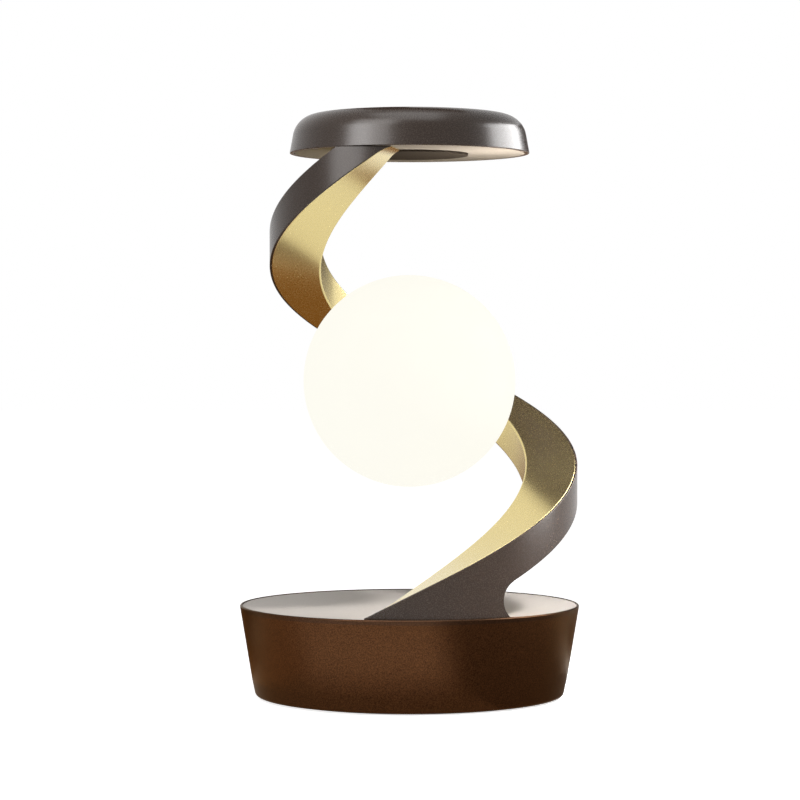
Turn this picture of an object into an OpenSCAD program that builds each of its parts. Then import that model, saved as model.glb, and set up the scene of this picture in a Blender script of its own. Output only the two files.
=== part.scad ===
// Bedside lamp: a charging base, a ribbon that climbs one turn round an opal globe, and a round cap.
// Millimetres, +Z up. The origin is on the table, at the middle of the base. The front is toward -Y.
// Angles round the lamp are counted from the front toward +X, so the ribbon climbs to the right.

/* [Globe] */
// Outer radius of the opal globe
globe_r = 50; // [46:0.5:56]
// Wall thickness of the globe
globe_wall = 1.8; // [1.2:0.1:3]
// Gap between the globe and the ribbon's inner face, where the globe is held
globe_gap = 2; // [1.9:0.1:4]
// Radius of the round neck opening at the back of the globe
neck_r = 13; // [12:0.5:15]
// Angle round the lamp at which the ribbon holds the globe
hold_angle = 164.5; // [150:0.5:180]
// Outer radius of the threaded stem that holds the globe
stem_r = 4; // [3.6:0.1:4.2]
// Radius of the wire way through the stem
stem_bore_r = 2.6; // [2:0.1:2.8]
// Length of the heat sink along the stem
sink_l = 12; // [9:0.5:16]

/* [Ribbon] */
// Width of the ribbon, from its inner face to its outer face
ribbon_w = 24.5; // [22:0.5:28]
// Height of the ribbon's section at its foot
ribbon_foot_h = 19; // [18:0.5:22]
// Height of the ribbon's section at its head
ribbon_head_h = 16.2; // [15.6:0.2:18]
// Angle of the ribbon's tip on the base
tip_angle = -16.2; // [-24:0.2:-10]
// Angle that the ribbon's top edge turns through, from the base to the cap
ribbon_turn = 340.3; // [336:0.1:344]
// Angle at which the ribbon stands furthest out
wide_angle = 77.8; // [70:0.2:90]
// Extra climb at the start, as a share of the whole climb
climb_lead = 0.081; // [0:0.001:0.12]
// How fast that extra climb is given back along the turn
climb_ease = 0.102; // [0:0.001:0.15]
// Angle over which the ribbon's lower edge eases into the cap, to either side of where they would meet
head_ease = 6; // [3:0.5:8]
// Wall thickness of the gold channel
channel_wall = 2; // [1.6:0.1:2.4]
// Thickness of the dark strip on the outer face
strip_t = 1; // [0.8:0.1:1.6]
// Gap between the channel and the strip
strip_gap = 0.05; // [0.02:0.01:0.1]
// Bevel of the channel's inner edges
channel_bevel = 0.8; // [0.3:0.1:1.2]
// Radius of the hollow under the ribbon, where its foot leaves the base
notch_r = 9.5; // [8:0.5:11]
// Angle of the middle of that hollow
notch_angle = 39.6; // [38:0.2:44]

/* [Base] */
// Height of the base, from the table to the top of its rim
base_h = 43.5; // [42:0.5:52]
// How much the base's radius grows from the table to its rim
base_flare = 7.2; // [4:0.2:10]
// Rounding at the foot of the base wall
base_fillet = 2; // [1.5:0.5:4]
// Wall thickness of the base shell
shell_wall = 2.6; // [2.2:0.1:3]
// Thickness of the deck that carries the charging plate
deck_t = 3; // [2.8:0.1:4]
// Thickness of the charging plate
plate_t = 2; // [1.6:0.1:3]
// How far the charging plate lies below the top of the rim
plate_drop = 0.3; // [0:0.1:0.6]
// Width of the rim trim
rim_w = 1.2; // [1.2:0.1:3]
// Bevel of the rim trim's outer edge
rim_bevel = 0.5; // [0.3:0.1:1.1]
// Room between the ribbon's foot and the rim trim
foot_margin = 0.36; // [0.3:0.01:2]
// Thickness of the bottom cover
cover_t = 3.2; // [3:0.1:4]
// Thickness of the rubber foot pad
pad_t = 1.6; // [1.2:0.1:2]
// How far the foot pad stands out below the bottom cover
pad_proud = 0.8; // [0.5:0.1:1]
// How far the foot pad lies inside the edge of the bottom cover
pad_inset = 3.2; // [3:0.1:4]
// Width of the foot pad
pad_w = 9; // [7:0.5:10]
// Thickness of the steel ballast plate
ballast_t = 6; // [4:0.5:8]
// Radius of the ballast plate
ballast_r = 56; // [53:0.5:60]

/* [Charging] */
// Outer radius of the charging coil
coil_r = 22; // [18:0.5:24]
// Inner radius of the charging coil
coil_hole_r = 10; // [8:0.5:12]
// Thickness of the charging coil
coil_t = 1.5; // [1.2:0.1:1.8]
// Thickness of the ferrite disc
ferrite_t = 1.2; // [0.8:0.1:1.5]
// Wall and floor thickness of the coil tray
tray_t = 1.5; // [1.2:0.1:2]

/* [Electronics] */
// Width of the main board
board_w = 52; // [50:1:54]
// Length of the main board
board_l = 48; // [44:1:50]
// Thickness of the main board
board_t = 1.6; // [1.2:0.2:2]
// Height of the main board above the bottom cover
board_lift = 10; // [9:0.5:11]
// Width of the inlet's metal shell
inlet_w = 8.94; // [8.4:0.02:9.4]
// Height of the inlet's metal shell
inlet_h = 3.26; // [3:0.02:3.6]
// Length of the inlet's metal shell
inlet_l = 9; // [7.5:0.5:11]
// Width of the rear panel's face
panel_w = 42; // [40:0.5:44]
// Height of the rear panel's face
panel_h = 12; // [10.5:0.5:13]
// Thickness of the rear panel
panel_t = 3.5; // [3:0.1:4]
// Radius of each push button
button_r = 3.5; // [3:0.1:3.8]
// How far each button stands out of the rear panel
button_proud = 1; // [0.9:0.1:1.4]
// How far each button travels when it is pressed
button_travel = 0.8; // [0.4:0.1:0.8]
// Distance of each button from the middle of the rear panel
button_x = 13; // [12:0.5:14]

/* [Cap] */
// Radius of the cap at its lower edge
cap_r = 56.5; // [54:0.5:60]
// How far the cap's side leans in over the cap's whole height
cap_draft = 3.3; // [0.4:0.1:4]
// Height of the cap
cap_h = 18.2; // [16:0.1:24]
// Rounding of the cap's top edge
cap_fillet = 11.5; // [4:0.5:12]
// Wall thickness of the cap shell
cap_wall = 2; // [1.6:0.1:3]
// Open height between the top of the base and the underside of the cap
clear_h = 212.5; // [206:0.1:220]
// Thickness of the plate that closes the cap from below
under_t = 3.2; // [3:0.1:4]
// Room between the dark disc in the middle of that plate and the ribbon's head
hub_room = 0.3; // [0.2:0.1:4]
// Thickness of that disc
hub_t = 2.2; // [2:0.1:2.4]
// How far that disc stands out below the plate
hub_proud = 1; // [0.8:0.1:1.2]
// How far the cap overhangs the ribbon's head
head_inset = 4; // [3:0.1:6]

/* [Fasteners] */
// Shank radius of the two screws that hold the ribbon's foot
foot_screw_r = 2; // [1.6:0.1:2.2]
// Shank radius of the other screws
screw_r = 1.4; // [1.2:0.1:1.5]
// Gap round a shank, a boss or a piece dropped into its seat
fit_gap = 0.1; // [0.05:0.01:0.15]

/* [Hidden] */

$fn = 96;
// How far a cutter runs past the face that it opens
over = 1;
// Smallest height of the ribbon's pointed ends
tip_h = 0.5;
// Largest angle between two sections of the ribbon
sweep_step = 3;
// The same for its hollow, so that the hollow's edges fall between those of the channel
hollow_step = 2.8;
// Angle between the two sections at a sudden step
hair = 0.01;
// Steps of a drawn rounding
round_steps = 12;
// How far two shapes of one piece run into each other
join = 0.5;
// How far a screw stops short of the far side of what it holds
screw_short = 0.5;

// Heights above the table
deck_z = base_h - plate_drop - plate_t;
plate_z = deck_z + plate_t;
deck_low_z = deck_z - deck_t;
cap_z = base_h + clear_h;
cover_z = pad_proud;
cover_top_z = cover_z + cover_t;
board_z = cover_top_z + board_lift;
board_top_z = board_z + board_t;
panel_z = board_top_z + inlet_h / 2;

// The ribbon's path. Its radius is drawn in between the two places where the globe and the cap set it.
climb = cap_z - plate_z;
head_angle = tip_angle + ribbon_turn;
hold_r = globe_r + globe_gap + ribbon_w;
end_r = cap_r - head_inset;
draw_angle = 350;
function turn_square(a) = pow((a - wide_angle) / 360, 2);
ribbon_draw = (hold_r - end_r) / (turn_square(draw_angle) - turn_square(hold_angle));
ribbon_max_r = hold_r + ribbon_draw * turn_square(hold_angle);

function turn_share(a) = (a - tip_angle) / ribbon_turn;
function ribbon_r(a) = ribbon_max_r - ribbon_draw * turn_square(a);
function ramp_top(a) =
    let (s = turn_share(a)) plate_z + climb * (s + s * (1 - s) * (climb_lead - climb_ease * s));
function ramp_h(a) = ribbon_foot_h + (ribbon_head_h - ribbon_foot_h) * turn_share(a);
function ramp_edge(a) = ramp_top(a) - ramp_h(a);
function ramp_mid(a) = ramp_top(a) - ramp_h(a) / 2;
function solve(f, lo, hi, n = 40) =
    let (m = (lo + hi) / 2) n == 0 ? m : f(m) < 0 ? solve(f, m, hi, n - 1) : solve(f, lo, m, n - 1);

// The lower edge climbs evenly and eases into the cap at its end
meet_angle = solve(function (a) ramp_edge(a) - cap_z, head_angle, head_angle + 90);
meet_rise = ramp_edge(meet_angle + 0.5) - ramp_edge(meet_angle - 0.5);
function ramp_low(a) =
    let (past = max(0, a - meet_angle + head_ease))
    ramp_edge(a) - meet_rise * past * past / (4 * head_ease);

// The hollow under the foot touches the ramp's lower face, and the foot ends where they touch
notch_arc = ribbon_r(notch_angle) * PI / 180;
notch_slope = (ramp_low(notch_angle + 0.5) - ramp_low(notch_angle - 0.5)) / notch_arc;
notch_z = ramp_low(notch_angle) - notch_r * sqrt(1 + notch_slope * notch_slope);
web_angle = notch_angle - notch_r * sin(atan(notch_slope)) / notch_arc;
start_angle = solve(function (a) ramp_top(a) - plate_z - tip_h, tip_angle, web_angle);
end_angle = solve(function (a) ramp_low(a) - cap_z + tip_h, head_angle - 30, meet_angle + head_ease);
// The channel is hollow between these angles
least_hollow = 2 * channel_wall + 1;
hollow_start = solve(function (a) ramp_top(a) - plate_z - least_hollow, tip_angle, web_angle);
hollow_end = solve(function (a) ramp_low(a) - cap_z + least_hollow, head_angle - 30, end_angle);

function floor_z(a) = a <= web_angle ? plate_z : max(plate_z, ramp_low(a));
function roof_z(a) = min(cap_z, ramp_top(a));
function inner_r(a) = ribbon_r(a) - ribbon_w;
function strip_r(a) = ribbon_r(a) - strip_t;
function channel_r(a) = strip_r(a) - strip_gap;
function polar(a, r, z) = [r * sin(a), -r * cos(a), z];
function spread(from, to, step) =
    let (n = ceil((to - from) / step)) [for (i = [0:n]) from + (to - from) * i / n];
function stops(from, to, step = sweep_step) =
    concat(
        spread(from, web_angle, step),
        spread(web_angle + hair, head_angle, step),
        spread(head_angle + hair, to, step)
    );

// The base's width follows from the ribbon's foot, which stands on the plate inside the rim
plate_r = ribbon_r(web_angle) + foot_margin - fit_gap;
base_r = plate_r + fit_gap + rim_w;
function base_wall_r(z) = base_r - base_flare * (base_h - z) / base_h;
function base_inner_r(z) = base_wall_r(z) - shell_wall;

// Screws and bosses
head_t = 1.4;
boss_wall = 2.4;
cover_screw_angles = [45:90:315];
boss_r = screw_r + fit_gap + boss_wall;
boss_room = 0.5;
screw_head_r = screw_r + 1.4;
screw_bite = 6;
drive_share = 0.6;
third_angles = [60:120:300];

// The rear panel is flat, and its round ends lie just inside the base wall
panel_sunk = 0.68;
panel_face_y = sqrt(pow(base_wall_r(panel_z), 2) - pow(panel_w / 2, 2)) - panel_sunk;
panel_back_y = panel_face_y - panel_t;

// Inner pieces of the base
board_back = 6;
board_rear_y = panel_face_y - board_back;
board_front_y = board_rear_y - board_l;
board_hole_in = 4;
board_hole_x = board_w / 2 - board_hole_in;
board_hole_ys = [board_front_y + board_l * 0.1, board_front_y + board_l * 0.77];
ballast_cut_y = board_front_y - board_back;
ballast_screw_x = ballast_r * 0.43;
ballast_screw_xs = [-ballast_screw_x, ballast_screw_x];
ballast_screw_y = -ballast_r / 4;
cover_r = base_inner_r(cover_z) - fit_gap;
pad_r = cover_r - pad_inset;
cover_screw_in = 5.2;
cover_screw_ring = pad_r - pad_w - screw_head_r - cover_screw_in;
coil_gap = 0.3;
coil_room = 1;
tray_top_z = deck_z - coil_gap;
tray_floor_z = tray_top_z - coil_t - ferrite_t;
tray_low_z = min(tray_floor_z, deck_low_z) - tray_t;
tray_in_r = coil_r + coil_room;
tray_out_r = tray_in_r + tray_t;
tray_head_room = 0.6;
tray_screw_ring = tray_out_r + screw_head_r + tray_head_room;
tray_flange_r = tray_screw_ring + screw_head_r + tray_head_room;
tray_screw_r = 1;
tray_screw_bite = 2;

// Rear panel, inlet, buttons and switches
panel_lip = 1.5;
panel_way = 6;
inlet_sunk = 0.5;
inlet_wall = 0.3;
inlet_back = 2;
inlet_front_y = panel_face_y - inlet_sunk;
inlet_rear_y = inlet_front_y - inlet_l;
tongue_w = 6.6;
tongue_t = 0.7;
tongue_short = 0.8;
button_gap = 0.1;
button_round = 0.6;
button_lip = 0.9;
button_lip_t = 1.3;
button_seat_gap = 0.2;
stem_end_gap = 0.05;
plunger_r = 1.2;
plunger_out = 1.5;
plunger_in = 1.5;
plunger_room = 0.3;
switch_w = 7;
switch_l = 4;
switch_h = inlet_h / 2 + plunger_r + 0.6;
switch_back = 8.5;
switch_y = panel_face_y - switch_back;
plunger_front_y = switch_y + plunger_out;
button_back_y = panel_back_y - button_seat_gap - button_lip_t;

// Ribbon anchors
foot_angle = 14;
foot_block_l = 15;
foot_block_w = ribbon_w - channel_wall - strip_t - 4;
foot_block_h = 9;
foot_r = ribbon_r(foot_angle) - strip_t - 2 - foot_block_w / 2;
foot_screw_gap = foot_block_w / 2;
foot_head_r = foot_screw_r + 1.8;
foot_head_t = 2.2;
foot_screw_l = deck_t + plate_t + channel_wall + foot_block_h - screw_short;
wire_angle = 26;
wire_r = ribbon_r(wire_angle) - ribbon_w / 2;
wire_hole_r = 2.2;
block_angle = head_angle + 7;
head_block_l = 8;
head_block_w = ribbon_w - channel_wall - strip_t - 6;
head_block_h = 3;
block_r = ribbon_r(block_angle) - strip_t - 3 - head_block_w / 2;
head_screw_gap = head_block_w / 2;

// Globe and what holds it, along the line from the globe's centre to the ribbon
globe_z = ramp_mid(hold_angle);
hold_wall = globe_r + globe_gap;
collar_t = 0.6;
collar_lip = 1.5;
collar_gap = 0.15;
collar_in = 4;
seal_r = stem_r + 2.4;
// The seal lies on a flat of the collar, and its back stays clear of the ribbon's hollow inner face
seal_seat = globe_r + 0.2;
seal_wall = inner_r(hold_angle + asin(seal_r / hold_wall));
seal_back = sqrt(seal_wall * seal_wall - seal_r * seal_r) - 0.15;
nut_r = stem_r + 1.4;
nut_t = 4;
nut_gap = 0.2;
stem_out = 3;
sink_r = neck_r - 1.5;
sink_gap = 0.1;
sink_plate = 3;
sink_core_r = stem_r + 2.5;
sink_fins = 4;
fin_pitch = (sink_l - sink_plate) / sink_fins;
light_board_t = 1.6;
light_chip = 2.4;
light_chip_t = 0.8;
light_chip_ring = sink_r * 0.55;
stem_tail = hold_wall + channel_wall + nut_gap + nut_t + stem_out;
collar_face = globe_r - globe_wall - collar_in;
sink_back = collar_face - sink_gap;
sink_front = sink_back - sink_l;

// Cap
cap_lean = atan(cap_draft / cap_h);
function cap_inner_r(z) = cap_r - cap_wall / cos(cap_lean) - (z - cap_z) * tan(cap_lean);
cap_head_t = 1.1;
hub_gap = 0.1;
hub_r = inner_r(end_angle) - hub_room;
hub_seat = hub_t - hub_proud;
cap_seat_z = cap_z + hub_seat + hub_gap + cap_head_t;
hub_pin_r = 3;
hub_pin_out = 0.6;
cap_screw_ring = 17;
cap_boss_low = cap_z + under_t;

// What stands on the board: a choke, two capacitors, two chips and the sockets of the two leads
part_x = board_w * 0.27;
choke_r = 6.5;
choke_hole_r = 2.5;
choke_h = 5;
choke_y = board_front_y + board_l / 2;
can_r = 4;
can_h = 9;
can_y = board_front_y + board_l * 0.46;
chip_w = 7;
chip_h = 1;
chip_y = board_front_y + board_l * 0.17;
socket_w = 6;
socket_d = 4;
socket_h = 6;
lamp_plug = [part_x, board_front_y + board_l * 0.21, board_top_z + socket_h];
coil_plug = [-part_x, board_front_y + board_l * 0.12, board_top_z + socket_h];

// Leads: one from the board through the ribbon to the light, one from the board to the coil.
// They cross the base below the heads of the tray's screws.
lead_r = 1.1;
lead_room = 0.4;
lead_sides = 8;
lead_under = 2;
lead_z = tray_low_z - head_t - lead_r - lead_under;
lead_rise = [0, 0, 5];
wire_way = polar(wire_angle, wire_r, lead_z);
function between(p, q, t) = [p[0] + (q[0] - p[0]) * t, p[1] + (q[1] - p[1]) * t, lead_z];
lamp_lead_route = concat(
    [lamp_plug, lamp_plug + lead_rise],
    [for (t = [0.08:0.14:0.92]) between(lamp_plug, wire_way, t)],
    [for (z = [deck_low_z - 1, deck_z, plate_z + 3, plate_z + 8]) polar(wire_angle, wire_r, z)],
    [polar(29, wire_r + 1, plate_z + 15), polar(34, wire_r + 2, ramp_mid(34))],
    [for (a = [40:6:hold_angle - 18]) polar(a, ribbon_r(a) - ribbon_w / 2, ramp_mid(a))],
    [for (k = [[9, 7], [4, 6.5], [1, 4.5], [0, 2]])
        polar(hold_angle - k[0], stem_tail + k[1], ramp_mid(hold_angle - k[0]))],
    [for (r = [stem_tail - 1, hold_wall, collar_face, sink_back - 4]) polar(hold_angle, r, globe_z)]
);
coil_lead_end = [-coil_hole_r, 0, tray_low_z];
coil_lead_route = concat(
    [coil_plug, coil_plug + lead_rise],
    [for (t = [0.2, 0.5, 0.8]) between(coil_plug, coil_lead_end, t)],
    [for (z = [-1.8, -0.5, 1]) coil_lead_end + [0, 0, z]]
);

// Shared shapes

module at_angle(a, r = 0, z = 0)
    rotate([0, 0, a]) translate([0, -r, z]) children();

// Points along the line from the globe's centre to where the ribbon holds it; +Z of the children runs outward
module on_hold_line()
    translate([0, 0, globe_z]) rotate([0, 0, hold_angle]) rotate([90, 0, 0]) children();

// A closed solid through a row of like sections
module loft(sections) {
    n = len(sections[0]);
    m = len(sections);
    polyhedron(
        points = [for (s = sections) each s],
        faces = concat(
            [[for (i = [n - 1:-1:0]) i]],
            [for (j = [0:m - 2], i = [0:n - 1]) [j * n + i, (j + 1) * n + (i + 1) % n, (j + 1) * n + i]],
            [for (j = [0:m - 2], i = [0:n - 1]) [j * n + i, j * n + (i + 1) % n, (j + 1) * n + (i + 1) % n]],
            [[for (i = [0:n - 1]) (m - 1) * n + i]]
        )
    );
}

// Upright section of the ribbon at one angle, with its two inner edges bevelled
function bevelled(a, r0, r1, z0, z1) =
    let (e = min(channel_bevel, (z1 - z0) * 0.4))
    [
        polar(a, r0, z0 + e), polar(a, r0 + e, z0), polar(a, r1, z0),
        polar(a, r1, z1), polar(a, r0 + e, z1), polar(a, r0, z1 - e)
    ];
function upright(a, r0, r1, z0, z1) =
    [polar(a, r0, z0), polar(a, r1, z0), polar(a, r1, z1), polar(a, r0, z1)];

// A round lead along a route
function unit(v) = v / norm(v);
function heading(route, i) = unit(route[min(i + 1, len(route) - 1)] - route[max(i - 1, 0)]);
function lead_ring(p, dir, r) =
    let (side = unit(cross(dir, [0.35, 0.25, 1])), up = cross(side, dir))
    [for (k = [0:lead_sides - 1]) let (b = 360 * k / lead_sides) p + r * (cos(b) * side + sin(b) * up)];
module lead(route, r)
    loft([for (i = [0:len(route) - 1]) lead_ring(route[i], heading(route, i), r)]);

// Screw with its head below z = 0 and its shank upward
module screw(r, head_radius, head_height, length) {
    cylinder(r = r, h = length);
    difference() {
        translate([0, 0, -head_height]) cylinder(r = head_radius, h = head_height);
        translate([0, 0, -head_height - over]) cylinder(r = r, h = head_height * drive_share + over, $fn = 6);
    }
}

// Bar with round ends, lying along X and extruded along Y from y0 to y1
module pill_bar(w, h, y0, y1)
    translate([0, y1, 0]) rotate([90, 0, 0]) linear_extrude(y1 - y0) pill(w, h);

module pill(w, h) {
    square([w - h, h], center = true);
    for (s = [-1, 1]) translate([s * (w - h) / 2, 0]) circle(r = h / 2);
}

module tube(r_out, r_in, h)
    difference() {
        cylinder(r = r_out, h = h);
        translate([0, 0, -over]) cylinder(r = r_in, h = h + 2 * over);
    }

// Base

module base_solid(inset, z0, z1)
    translate([0, 0, z0])
        cylinder(r1 = base_wall_r(z0) - inset, r2 = base_wall_r(z1) - inset, h = z1 - z0);

module base_outline() {
    slope = atan(base_flare / base_h);
    foot_r = base_wall_r(cover_z) - base_fillet;
    polygon(concat(
        [[0, deck_z], [0, cover_z]],
        [for (i = [0:round_steps])
            let (b = -90 + (90 - slope) * i / round_steps)
            [foot_r + base_fillet * cos(b), cover_z + base_fillet * (1 + sin(b))]],
        [[base_wall_r(deck_z), deck_z]]
    ));
}

module base_shell()
    color("#543820")
        difference() {
            union() {
                difference() {
                    rotate_extrude() base_outline();
                    base_solid(shell_wall, cover_z - over, deck_low_z);
                }
                for (a = cover_screw_angles)
                    at_angle(a, cover_screw_ring, cover_top_z)
                        cylinder(r = boss_r, h = deck_low_z - cover_top_z + join);
            }
            for (a = cover_screw_angles)
                at_angle(a, cover_screw_ring, cover_top_z - over)
                    cylinder(r = screw_r + fit_gap, h = screw_bite + screw_short + over);
            translate([0, 0, deck_low_z - over])
                cylinder(r = tray_out_r + fit_gap, h = deck_t + 2 * over);
            for (a = third_angles)
                at_angle(a, tray_screw_ring, deck_low_z - over)
                    cylinder(r = tray_screw_r + fit_gap, h = tray_screw_bite + screw_short + over);
            foot_screw_holes(deck_low_z - over, deck_z + over);
            at_angle(wire_angle, wire_r, deck_low_z - over)
                cylinder(r = wire_hole_r, h = deck_t + 2 * over);
            translate([0, 0, panel_z])
                pill_bar(
                    panel_w + 2 * fit_gap, panel_h + 2 * fit_gap,
                    panel_back_y - panel_way, base_r + over
                );
        }

module foot_screw_holes(z0, z1)
    for (s = [-1, 1])
        at_angle(foot_angle, foot_r + s * foot_screw_gap / 2, z0)
            cylinder(r = foot_screw_r + fit_gap, h = z1 - z0);

module rim_trim()
    color("#9d948c")
        rotate_extrude()
            polygon([
                [base_r - rim_w, deck_z], [base_wall_r(deck_z), deck_z],
                [base_wall_r(base_h - rim_bevel), base_h - rim_bevel],
                [base_r - rim_bevel, base_h], [base_r - rim_w, base_h]
            ]);

module charging_plate()
    color("#c9c0b8")
        difference() {
            translate([0, 0, deck_z]) cylinder(r = plate_r, h = plate_t);
            foot_screw_holes(deck_z - over, plate_z + over);
            at_angle(wire_angle, wire_r, deck_z - over)
                cylinder(r = wire_hole_r, h = plate_t + 2 * over);
        }

module charging_coil()
    color("#b5713c")
        translate([0, 0, tray_floor_z + ferrite_t]) tube(coil_r, coil_hole_r, coil_t);

module ferrite_disc()
    color("#2b2b2e")
        translate([0, 0, tray_floor_z]) cylinder(r = tray_in_r - fit_gap, h = ferrite_t);

module coil_tray()
    color("#e4e2dc")
        difference() {
            union() {
                translate([0, 0, tray_low_z]) cylinder(r = tray_out_r, h = tray_top_z - tray_low_z);
                translate([0, 0, tray_low_z]) cylinder(r = tray_flange_r, h = deck_low_z - tray_low_z);
            }
            translate([0, 0, tray_floor_z]) cylinder(r = tray_in_r, h = deck_z);
            for (a = third_angles)
                at_angle(a, tray_screw_ring, tray_low_z - over)
                    cylinder(r = tray_screw_r + fit_gap, h = deck_t + tray_t + 2 * over);
            translate([coil_lead_end[0], coil_lead_end[1], tray_low_z - over])
                cylinder(r = lead_r + lead_room, h = tray_floor_z - tray_low_z + 2 * over);
        }

module tray_screws()
    color("#b8b8ba")
        for (a = third_angles)
            at_angle(a, tray_screw_ring, tray_low_z)
                screw(tray_screw_r, screw_head_r, head_t, deck_low_z - tray_low_z + tray_screw_bite);

module bottom_cover()
    color("#2f2a27")
        difference() {
            union() {
                translate([0, 0, cover_z]) cylinder(r = cover_r, h = cover_t);
                for (x = [-1, 1] * board_hole_x, y = board_hole_ys)
                    translate([x, y, cover_top_z - join]) cylinder(r = boss_r, h = board_lift + join);
            }
            tube_at(pad_r + fit_gap, pad_r - pad_w - fit_gap, cover_z - over, pad_t);
            for (a = cover_screw_angles)
                at_angle(a, cover_screw_ring, cover_z - over) {
                    cylinder(r = screw_r + fit_gap, h = cover_t + 2 * over);
                    cylinder(r = screw_head_r + fit_gap, h = head_t + over);
                }
            for (x = [-1, 1] * board_hole_x, y = board_hole_ys)
                translate([x, y, board_z - screw_bite - screw_short])
                    cylinder(r = screw_r + fit_gap, h = screw_bite + screw_short + over);
            for (x = ballast_screw_xs)
                translate([x, ballast_screw_y, cover_z - over]) {
                    cylinder(r = screw_r + fit_gap, h = cover_t + 2 * over);
                    cylinder(r = screw_head_r + fit_gap, h = head_t + over);
                }
        }

module cover_screws()
    color("#b8b8ba")
        for (a = cover_screw_angles)
            at_angle(a, cover_screw_ring, cover_z + head_t)
                screw(screw_r, screw_head_r, head_t, cover_t - head_t + screw_bite);

module foot_pad()
    color("#1d1d1e")
        tube_at(pad_r, pad_r - pad_w, 0, pad_t);

module tube_at(r_out, r_in, z0, z1)
    translate([0, 0, z0]) tube(r_out, r_in, z1 - z0);

module ballast_plate()
    color("#7d8085")
        difference() {
            translate([0, 0, cover_top_z]) cylinder(r = ballast_r, h = ballast_t);
            translate([-ballast_r - over, ballast_cut_y, cover_top_z - over])
                cube([2 * ballast_r + 2 * over, 2 * ballast_r, ballast_t + 2 * over]);
            for (a = cover_screw_angles)
                at_angle(a, cover_screw_ring, cover_top_z - over)
                    cylinder(r = boss_r + boss_room, h = ballast_t + 2 * over);
            for (x = ballast_screw_xs)
                translate([x, ballast_screw_y, cover_top_z - over])
                    cylinder(r = screw_r + fit_gap, h = ballast_t + 2 * over);
        }

module ballast_screws()
    color("#b8b8ba")
        for (x = ballast_screw_xs)
            translate([x, ballast_screw_y, cover_z + head_t])
                screw(screw_r, screw_head_r, head_t, cover_t - head_t + ballast_t - screw_short);

module main_board()
    color("#1f6b3a")
        difference() {
            translate([-board_w / 2, board_front_y, board_z])
                cube([board_w, board_rear_y - board_front_y, board_t]);
            for (x = [-1, 1] * board_hole_x, y = board_hole_ys)
                translate([x, y, board_z - over])
                    cylinder(r = screw_r + fit_gap, h = board_t + 2 * over);
        }

module board_screws()
    color("#b8b8ba")
        for (x = [-1, 1] * board_hole_x, y = board_hole_ys)
            translate([x, y, board_top_z])
                rotate([180, 0, 0]) screw(screw_r, screw_head_r, head_t, board_t + screw_bite);

module board_parts()
    color("#3a3a3c")
        translate([0, 0, board_top_z]) {
            translate([0, choke_y, 0]) tube(choke_r, choke_hole_r, choke_h);
            for (x = [-part_x, part_x]) translate([x, can_y, 0]) cylinder(r = can_r, h = can_h);
            for (x = [-chip_w * 0.8, chip_w * 0.6])
                translate([x, chip_y, 0]) cube([chip_w * 0.8, chip_w, chip_h]);
            for (plug = [lamp_plug, coil_plug])
                translate([plug[0] - socket_w / 2, plug[1] - socket_d / 2, 0])
                    cube([socket_w, socket_d, socket_h]);
        }

module inlet_shell()
    color("#c3c5c8")
        difference() {
            translate([0, 0, panel_z]) pill_bar(inlet_w, inlet_h, inlet_rear_y, inlet_front_y);
            translate([0, 0, panel_z])
                pill_bar(
                    inlet_w - 2 * inlet_wall, inlet_h - 2 * inlet_wall,
                    inlet_rear_y + inlet_back, inlet_front_y + over
                );
        }

module inlet_tongue()
    color("#202022")
        translate([-tongue_w / 2, inlet_rear_y + inlet_back, panel_z - tongue_t / 2])
            cube([tongue_w, inlet_l - inlet_back - tongue_short, tongue_t]);

module rear_panel()
    color("#2a2523")
        difference() {
            union() {
                translate([0, 0, panel_z]) pill_bar(panel_w, panel_h, panel_back_y, panel_face_y);
                intersection() {
                    translate([0, 0, panel_z])
                        pill_bar(
                            panel_w + 2 * panel_lip, panel_h + 2 * panel_lip,
                            panel_back_y, panel_face_y
                        );
                    base_solid(shell_wall + fit_gap, cover_z, deck_low_z);
                }
            }
            translate([0, 0, panel_z])
                pill_bar(
                    inlet_w + 2 * fit_gap, inlet_h + 2 * fit_gap,
                    panel_back_y - over, panel_face_y + over
                );
            for (s = [-1, 1])
                translate([s * button_x, panel_face_y + over, panel_z])
                    rotate([90, 0, 0]) cylinder(r = button_r + button_gap, h = panel_t + 2 * over);
        }

// Button with a domed face, a lip behind the panel and a stem that meets the switch
module push_button(x) {
    length = panel_face_y + button_proud - button_back_y;
    stem_l = button_back_y - plunger_front_y - stem_end_gap;
    translate([x, button_back_y, panel_z]) rotate([-90, 0, 0]) {
        cylinder(r = button_r + button_lip, h = button_lip_t);
        rotate_extrude()
            polygon(concat(
                [[0, 0], [button_r, 0]],
                [for (i = [0:round_steps])
                    let (b = 90 * i / round_steps)
                    [button_r + button_round * (cos(b) - 1), length + button_round * (sin(b) - 1)]],
                [[0, length]]
            ));
        translate([0, 0, -stem_l]) cylinder(r = plunger_r, h = stem_l + join);
    }
}

module power_button()
    color("#8e8a86")
        push_button(-button_x);

module tone_button()
    color("#8e8a86")
        push_button(button_x);

module plunger(x)
    translate([x, switch_y - plunger_in, panel_z]) rotate([-90, 0, 0])
        cylinder(r = plunger_r, h = plunger_in + plunger_out);

module power_plunger()
    color("#1f1f20")
        plunger(-button_x);

module tone_plunger()
    color("#1f1f20")
        plunger(button_x);

module switch_bodies()
    color("#cfcfd1")
        for (x = [-1, 1] * button_x)
            difference() {
                translate([x - switch_w / 2, switch_y - switch_l, board_top_z])
                    cube([switch_w, switch_l, switch_h]);
                translate([x, switch_y + over, panel_z]) rotate([90, 0, 0])
                    cylinder(
                        r = plunger_r + button_gap,
                        h = plunger_in + button_travel + plunger_room + over
                    );
            }

// Ribbon

module notch(r)
    at_angle(notch_angle, 0, notch_z) rotate([90, 0, 0]) cylinder(r = r, h = ribbon_max_r + over);

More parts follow.
